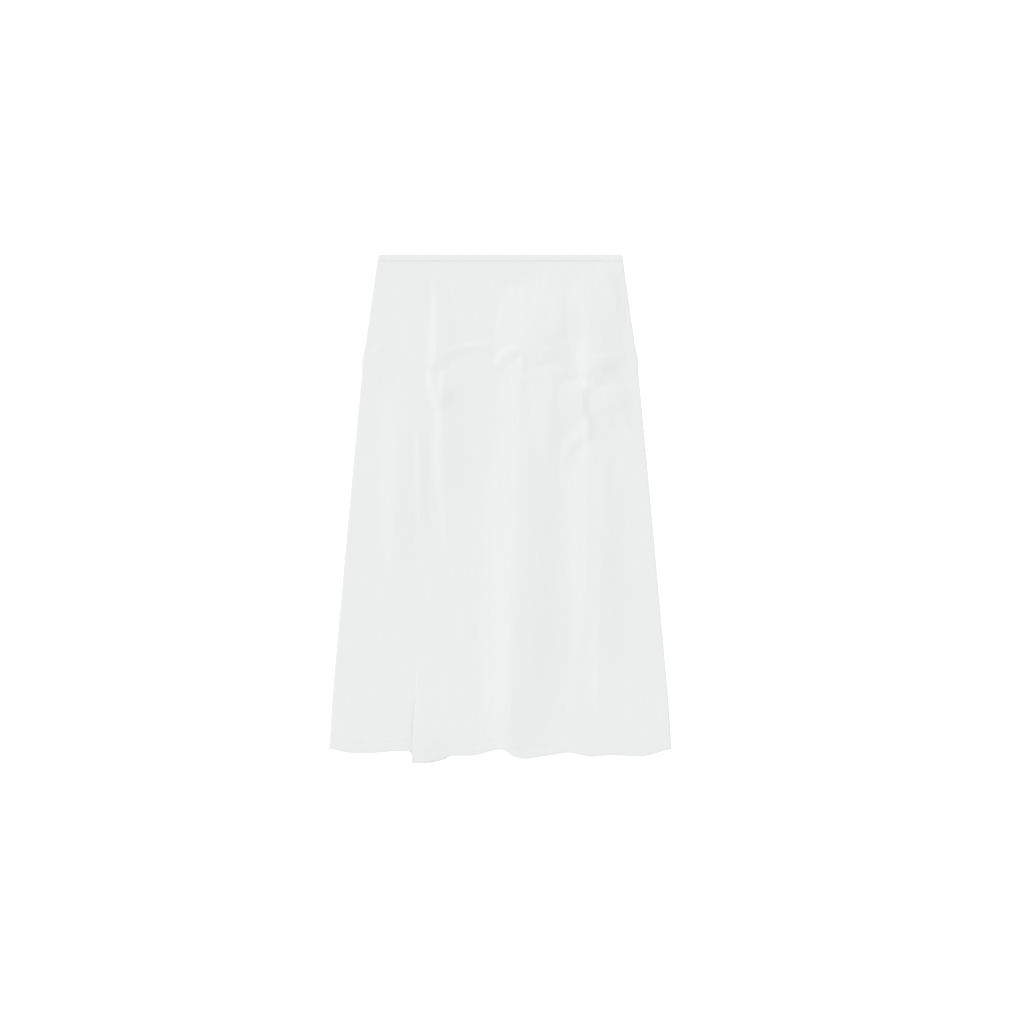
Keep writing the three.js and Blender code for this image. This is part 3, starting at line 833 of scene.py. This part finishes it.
def crepe_grain_group():
    """The pebbled grain of crepe with fine lengthwise threads: a height, and a tone from 0 to 1."""
    group, given, out = node_group(
        "crepe grain",
        [("Place", "NodeSocketVector", None), ("Grain", "NodeSocketFloat", 900.0)],
        [("Height", "NodeSocketFloat"), ("Tone", "NodeSocketFloat")],
    )
    pebbles = node(
        group, "ShaderNodeTexNoise",
        {"Vector": given.outputs["Place"], "Scale": given.outputs["Grain"], "Detail": 2.0},
    )
    stretched = node(
        group, "ShaderNodeMapping", {"Vector": given.outputs["Place"], "Scale": (1.0, 0.06, 1.0)}
    )
    threads = node(
        group, "ShaderNodeTexNoise",
        {"Vector": stretched.outputs["Vector"], "Scale": 620.0, "Detail": 1.0},
    )
    height = node(
        group, "ShaderNodeMix",
        {"Factor": 0.4, "A": pebbles.outputs["Fac"], "B": threads.outputs["Fac"]},
        data_type="FLOAT",
    )
    patches = node(
        group, "ShaderNodeTexNoise",
        {"Vector": given.outputs["Place"], "Scale": 7.0, "Detail": 2.0},
    )
    tone = node(
        group, "ShaderNodeMix",
        {"Factor": 0.35, "A": patches.outputs["Fac"], "B": threads.outputs["Fac"]},
        data_type="FLOAT",
    )
    group.links.new(height.outputs["Result"], out.inputs["Height"])
    group.links.new(tone.outputs["Result"], out.inputs["Tone"])
    return group


def handled_cloth_group():
    """The faint rumples that handling leaves, longer down the cloth than across: a height."""
    group, given, out = node_group(
        "handled cloth",
        [("Place", "NodeSocketVector", None), ("Size", "NodeSocketFloat", 60.0)],
        [("Height", "NodeSocketFloat")],
    )
    stretched = node(
        group, "ShaderNodeMapping", {"Vector": given.outputs["Place"], "Scale": (1.0, 0.3, 1.0)}
    )
    rumples = node(
        group, "ShaderNodeTexNoise",
        {"Vector": stretched.outputs["Vector"], "Scale": given.outputs["Size"], "Detail": 3.0,
         "Distortion": 0.5},
    )
    group.links.new(rumples.outputs["Fac"], out.inputs["Height"])
    return group


CREPE_GRAIN = crepe_grain_group()
HANDLED_CLOTH = handled_cloth_group()


def cloth_material(name, dark, light, grain, grain_depth, rumple, rumple_depth, roughness):
    """White cloth: its colour between two near tones, and its relief as two bumps, in metres."""
    made, tree, shader = new_material(name)
    place = node(tree, "ShaderNodeUVMap", uv_map="flat").outputs["UV"]
    grained = node(tree, "ShaderNodeGroup", node_tree=CREPE_GRAIN)
    tree.links.new(place, grained.inputs["Place"])
    grained.inputs["Grain"].default_value = grain
    handled = node(tree, "ShaderNodeGroup", node_tree=HANDLED_CLOTH)
    tree.links.new(place, handled.inputs["Place"])
    handled.inputs["Size"].default_value = rumple
    rumpled = node(
        tree, "ShaderNodeBump",
        {"Height": handled.outputs["Height"], "Distance": rumple_depth, "Strength": 1.0},
    )
    fine = node(
        tree, "ShaderNodeBump",
        {"Height": grained.outputs["Height"], "Distance": grain_depth, "Strength": 1.0,
         "Normal": rumpled.outputs["Normal"]},
    )
    colour = node(
        tree, "ShaderNodeMix",
        {"Factor": grained.outputs["Tone"], "A": (*dark, 1), "B": (*light, 1)},
        data_type="RGBA",
    )
    gloss = node(
        tree, "ShaderNodeMapRange",
        {"Value": grained.outputs["Height"], "To Min": roughness - 0.05, "To Max": roughness + 0.05},
    )
    tree.links.new(colour.outputs["Result"], shader.inputs["Base Color"])
    tree.links.new(gloss.outputs["Result"], shader.inputs["Roughness"])
    tree.links.new(fine.outputs["Normal"], shader.inputs["Normal"])
    shader.inputs["Specular IOR Level"].default_value = 0.35
    shader.inputs["Sheen Weight"].default_value = 0.12
    shader.inputs["Sheen Roughness"].default_value = 0.45
    return made


def thread_material(name, dark, light):
    """Sewing thread: white, with the twist of its strands as slanting bands."""
    made, tree, shader = new_material(name)
    place = node(tree, "ShaderNodeTexCoord").outputs["Object"]
    twist = node(
        tree, "ShaderNodeTexWave",
        {"Vector": place, "Scale": 520.0, "Distortion": 1.5, "Detail": 1.0},
        bands_direction="DIAGONAL",
    )
    colour = node(
        tree, "ShaderNodeMix",
        {"Factor": twist.outputs["Fac"], "A": (*dark, 1), "B": (*light, 1)},
        data_type="RGBA",
    )
    relief = node(
        tree, "ShaderNodeBump",
        {"Height": twist.outputs["Fac"], "Distance": 0.00006, "Strength": 0.6},
    )
    tree.links.new(colour.outputs["Result"], shader.inputs["Base Color"])
    tree.links.new(relief.outputs["Normal"], shader.inputs["Normal"])
    shader.inputs["Roughness"].default_value = 0.5
    return made


def floor_material():
    """The studio's pale floor, lit from below as a light table is, with a very faint mottling."""
    made, tree, shader = new_material("pale floor")
    place = node(tree, "ShaderNodeTexCoord").outputs["Object"]
    mottle = node(tree, "ShaderNodeTexNoise", {"Vector": place, "Scale": 1.2, "Detail": 2.0})
    colour = node(
        tree, "ShaderNodeMix",
        {"Factor": mottle.outputs["Fac"], "A": (*FLOOR_DARK, 1), "B": (*FLOOR_LIGHT, 1)},
        data_type="RGBA",
    )
    tree.links.new(colour.outputs["Result"], shader.inputs["Base Color"])
    shader.inputs["Roughness"].default_value = 0.95
    shader.inputs["Specular IOR Level"].default_value = 0.0
    shader.inputs["Emission Color"].default_value = (1, 1, 1, 1)
    shader.inputs["Emission Strength"].default_value = FLOOR_GLOW
    return made


# Stage, light and camera


def make_floor():
    work = bmesh.new()
    bmesh.ops.create_grid(work, x_segments=1, y_segments=1, size=FLOOR_HALF)
    bmesh.ops.translate(work, verts=work.verts, vec=(0, 0, -FLOOR_BELOW * MM))
    floor = object_of("floor", work)
    floor.data.materials.append(floor_material())
    return floor


def make_light():
    """A broad soft light from the upper left, and an even white sky."""
    sun = bpy.data.lights.new("soft light", "SUN")
    sun.energy = SUN_STRENGTH
    sun.angle = SUN_ANGLE
    lamp = bpy.data.objects.new("soft light", sun)
    lamp.rotation_euler = SUN_FROM.to_track_quat("Z", "Y").to_euler()
    bpy.context.scene.collection.objects.link(lamp)
    world = bpy.data.worlds.new("studio")
    bpy.context.scene.world = world
    world.use_nodes = True
    sky = world.node_tree.nodes["Background"]
    sky.inputs["Color"].default_value = (1, 1, 1, 1)
    sky.inputs["Strength"].default_value = SKY_STRENGTH


def make_camera():
    """The camera looks straight down, with the skirt where the photograph has it."""
    camera = bpy.data.cameras.new("camera")
    camera.lens = LENS
    camera.sensor_width = SENSOR
    camera.sensor_fit = "HORIZONTAL"
    camera.clip_end = 200
    x = (PHOTO_PIXELS / 2 - CENTRE_PIXEL) * MM_PER_PIXEL
    y = FULL_LENGTH / 2 - (PHOTO_PIXELS / 2 - WAIST_PIXEL) * MM_PER_PIXEL
    seen_height = 5
    z = PHOTO_PIXELS * MM_PER_PIXEL * LENS / SENSOR + seen_height
    holder = bpy.data.objects.new("camera", camera)
    holder.location = Vector((x, y, z)) * MM
    bpy.context.scene.collection.objects.link(holder)
    bpy.context.scene.camera = holder


# The whole skirt

front = make_front()
back = make_back()
band_front = make_band("waistband_front_cloth", 1)
band_back = make_band("waistband_back_cloth", -1)
hem_stitches_front, hem_stitches_back = make_hem_stitches()
band_stitches_front = make_band_stitches("waistband_stitches_front", 1)
band_stitches_back = make_band_stitches("waistband_stitches_back", -1)

skirt_cloth = cloth_material(
    "white crepe", CLOTH_DARK, CLOTH_LIGHT,
    grain=900, grain_depth=0.00005, rumple=60, rumple_depth=0.0006, roughness=0.58,
)
band_cloth = cloth_material(
    "white waistband crepe", CLOTH_DARK, CLOTH_LIGHT,
    grain=900, grain_depth=0.00005, rumple=90, rumple_depth=0.0003, roughness=0.62,
)
thread = thread_material("white thread", CLOTH_DARK, CLOTH_LIGHT)

floor = make_floor()
make_light()
make_camera()

Dressed = namedtuple("Dressed", "cloth stitches material slot solid cut rests_on")
for piece in [
    Dressed(back, hem_stitches_back, skirt_cloth, "cloth", "back_panel", BACK_CUT, floor),
    Dressed(front, hem_stitches_front, skirt_cloth, "cloth", "front_panel", FRONT_CUT, back),
    Dressed(
        band_back, band_stitches_back, band_cloth,
        "waistband_cloth", "waistband_back", BAND_CUT, floor,
    ),
    Dressed(
        band_front, band_stitches_front, band_cloth,
        "waistband_cloth", "waistband_front", BAND_CUT, band_back,
    ),
]:
    piece.cloth.data.materials.append(piece.material)
    piece.stitches.data.materials.append(thread)
    for part in (piece.cloth, piece.stitches):
        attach(part, "root")
    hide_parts(piece.solid)

bpy.context.scene.view_settings.view_transform = "Standard"
